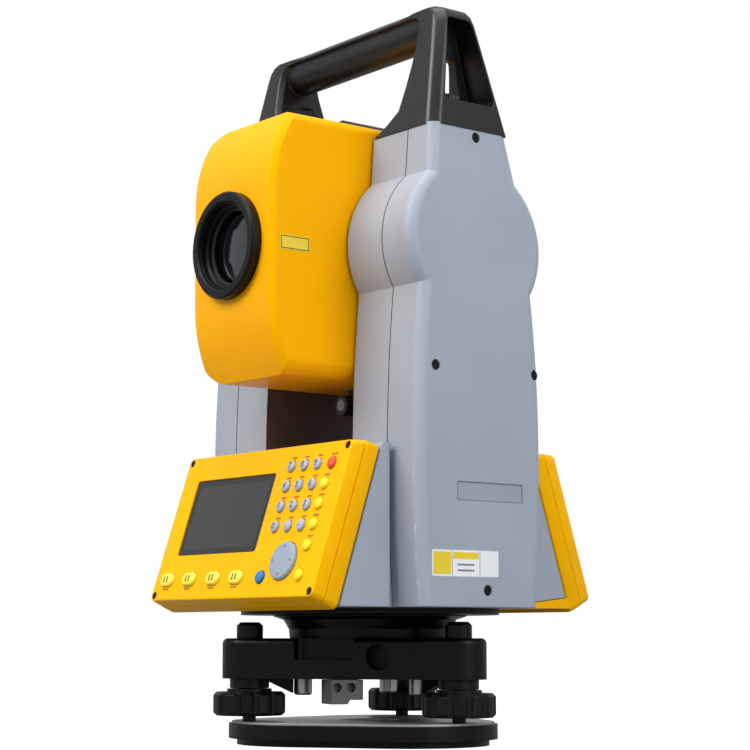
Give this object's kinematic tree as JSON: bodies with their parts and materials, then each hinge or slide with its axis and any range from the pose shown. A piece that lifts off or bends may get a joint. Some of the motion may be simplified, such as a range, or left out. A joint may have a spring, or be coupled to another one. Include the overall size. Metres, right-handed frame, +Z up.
{
  "type": "total station",
  "caption": "Surveying total station: tilting telescope between two standards with a carrying handle, two sloping keyboards and a levelling tribrach.",
  "frame": {"origin": "on the vertical axis, at the underside of the base plate", "axes": "+Z up along the vertical axis, X along the trunnion axis, the objective looks along -Y at rest"},
  "size_m": [0.1911, 0.1811, 0.35],
  "materials": {
    "yellow_plastic": "satin",
    "grey_plastic": "satin",
    "black_plastic": "fine texture",
    "black_metal": "satin",
    "plate_metal": "satin",
    "steel": "brushed",
    "aluminium": "machined",
    "brass": "turned",
    "key_grey": "matte",
    "key_yellow": "matte",
    "key_red": "matte",
    "key_blue": "matte",
    "board": "solder mask",
    "glass": "clear",
    "lens_glass": "coated",
    "screen_glass": "clear over a dark display"
  },
  "bodies": {
    "tribrach": {"base_plate": "plate_metal", "spring_plate": "steel", "tribrach_body": "black_metal", "foot_bushes": "black_metal", "level_cup": "black_metal", "level_vial": "glass", "centre_cup": "black_metal", "centring_stubs": "steel", "axis_sleeve": "brass", "horizontal_circle": "glass"},
    "right_foot": {"right_foot_screw": "black_metal"},
    "rear_foot": {"rear_foot_screw": "black_metal"},
    "left_foot": {"left_foot_screw": "black_metal"},
    "lock": {"lock_ring": "steel", "lock_lever": "aluminium"},
    "alidade": {"vertical_spindle": "steel", "base_disc": "black_metal", "alidade_frame": "grey_plastic", "trunnion_bearings": "steel", "right_cover": "grey_plastic", "left_cover": "grey_plastic", "cover_screws": "steel", "plate_level_vial": "glass", "front_bezel": "yellow_plastic", "front_tub": "yellow_plastic", "front_circuit_board": "board", "front_screen": "screen_glass", "rear_bezel": "yellow_plastic", "rear_tub": "yellow_plastic", "rear_circuit_board": "board", "rear_screen": "screen_glass", "panel_screws": "steel", "carrying_handle": "black_plastic"},
    "battery": {"battery_pack": "grey_plastic"},
    "vertical_clamp": {"vertical_clamp_knob": "black_plastic"},
    "vertical_tangent": {"vertical_tangent_knob": "black_plastic"},
    "horizontal_clamp": {"horizontal_clamp_knob": "black_plastic"},
    "horizontal_tangent": {"horizontal_tangent_knob": "black_plastic"},
    "left_handle_fastener": {"left_handle_screw": "black_metal"},
    "right_handle_fastener": {"right_handle_screw": "black_metal"},
    "telescope": {"telescope_front_shell": "yellow_plastic", "telescope_rear_shell": "yellow_plastic", "lens_tube": "black_metal", "trunnion_axles": "steel", "vertical_circle": "glass", "collimator_sights": "black_plastic", "objective_ring": "black_metal", "objective_lens": "lens_glass"},
    "focus": {"focus_ring": "black_plastic"},
    "ocular": {"eyepiece": "black_plastic"},
    "front_power_key_body": {"front_power_key": "key_red"},
    "front_star_key_body": {"front_star_key": "key_blue"},
    "front_navigation_pad_body": {"front_navigation_pad": "key_grey"},
    "front_number_keys_group": {"front_number_keys": "key_grey"},
    "front_menu_keys_group": {"front_menu_keys": "key_yellow"},
    "front_function_keys_group": {"front_function_keys": "key_yellow"},
    "rear_power_key_body": {"rear_power_key": "key_red"},
    "rear_navigation_pad_body": {"rear_navigation_pad": "key_grey"},
    "rear_number_keys_group": {"rear_number_keys": "key_grey"},
    "rear_function_keys_group": {"rear_function_keys": "key_yellow"}
  },
  "joints": [
    {"name": "alidade_turn", "type": "hinge", "parent": "tribrach", "child": "alidade", "pos_m": [0, 0, 0.06], "axis": [0, 0, 1], "continuous": true},
    {"name": "telescope_tilt", "type": "hinge", "parent": "alidade", "child": "telescope", "pos_m": [0, 0, 0.2337], "axis": [1, 0, 0], "continuous": true},
    {"name": "focus_turn", "type": "hinge", "parent": "telescope", "child": "focus", "pos_m": [0, 0.069, 0.2337], "axis": [0, 1, 0], "range_deg": [-160, 160]},
    {"name": "eyepiece_turn", "type": "hinge", "parent": "telescope", "child": "ocular", "pos_m": [0, 0.086, 0.2337], "axis": [0, 1, 0], "range_deg": [-120, 120]},
    {"name": "lock_turn", "type": "hinge", "parent": "tribrach", "child": "lock", "pos_m": [0, 0, 0.0335], "axis": [0, 0, 1], "range_deg": [0, 35]},
    {"name": "battery_slide", "type": "slide", "parent": "alidade", "child": "battery", "axis": [-1, 0, 0], "range_m": [0, 0.06]},
    {"name": "right_foot_turn", "type": "hinge", "parent": "tribrach", "child": "right_foot", "pos_m": [0.05905, 0.006, 0.02], "axis": [0, 0, 1], "range_deg": [-1080, 1080]},
    {"name": "rear_foot_turn", "type": "hinge", "parent": "tribrach", "child": "rear_foot", "pos_m": [-0.03472, 0.04814, 0.02], "axis": [0, 0, 1], "range_deg": [-1080, 1080]},
    {"name": "left_foot_turn", "type": "hinge", "parent": "tribrach", "child": "left_foot", "pos_m": [-0.02433, -0.05413, 0.02], "axis": [0, 0, 1], "range_deg": [-1080, 1080]},
    {"name": "left_handle_screw_turn", "type": "hinge", "parent": "alidade", "child": "left_handle_fastener", "pos_m": [-0.06, 0.002, 0.305], "axis": [0, 0, 1], "range_deg": [0, 1080]},
    {"name": "right_handle_screw_turn", "type": "hinge", "parent": "alidade", "child": "right_handle_fastener", "pos_m": [0.06, 0.002, 0.305], "axis": [0, 0, 1], "range_deg": [0, 1080]},
    {"name": "vertical_clamp_turn", "type": "hinge", "parent": "alidade", "child": "vertical_clamp", "pos_m": [-0.05, 0.045, 0.178], "axis": [0, 1, 0], "range_deg": [0, 120]},
    {"name": "horizontal_clamp_turn", "type": "hinge", "parent": "alidade", "child": "horizontal_clamp", "pos_m": [-0.09, 0.008, 0.088], "axis": [-1, 0, 0], "range_deg": [0, 120]},
    {"name": "vertical_tangent_turn", "type": "hinge", "parent": "alidade", "child": "vertical_tangent", "pos_m": [-0.05, 0.045, 0.178], "axis": [0, 1, 0], "range_deg": [-1080, 1080]},
    {"name": "horizontal_tangent_turn", "type": "hinge", "parent": "alidade", "child": "horizontal_tangent", "pos_m": [-0.09, 0.008, 0.088], "axis": [-1, 0, 0], "range_deg": [-1080, 1080]},
    {"name": "front_power_key_press", "type": "slide", "parent": "alidade", "child": "front_power_key_body", "axis": [0, 0.95, -0.3123], "range_m": [0, 0.0008]},
    {"name": "front_star_key_press", "type": "slide", "parent": "alidade", "child": "front_star_key_body", "axis": [0, 0.95, -0.3123], "range_m": [0, 0.0008]},
    {"name": "front_navigation_pad_press", "type": "slide", "parent": "alidade", "child": "front_navigation_pad_body", "axis": [0, 0.95, -0.3123], "range_m": [0, 0.0008]},
    {"name": "front_number_keys_press", "type": "slide", "parent": "alidade", "child": "front_number_keys_group", "axis": [0, 0.95, -0.3123], "range_m": [0, 0.0008]},
    {"name": "front_menu_keys_press", "type": "slide", "parent": "alidade", "child": "front_menu_keys_group", "axis": [0, 0.95, -0.3123], "range_m": [0, 0.0008]},
    {"name": "front_function_keys_press", "type": "slide", "parent": "alidade", "child": "front_function_keys_group", "axis": [0, 0.95, -0.3123], "range_m": [0, 0.0008]},
    {"name": "rear_power_key_press", "type": "slide", "parent": "alidade", "child": "rear_power_key_body", "axis": [0, -0.95, -0.3123], "range_m": [0, 0.0008]},
    {"name": "rear_navigation_pad_press", "type": "slide", "parent": "alidade", "child": "rear_navigation_pad_body", "axis": [0, -0.95, -0.3123], "range_m": [0, 0.0008]},
    {"name": "rear_number_keys_press", "type": "slide", "parent": "alidade", "child": "rear_number_keys_group", "axis": [0, -0.95, -0.3123], "range_m": [0, 0.0008]},
    {"name": "rear_function_keys_press", "type": "slide", "parent": "alidade", "child": "rear_function_keys_group", "axis": [0, -0.95, -0.3123], "range_m": [0, 0.0008]}
  ]
}
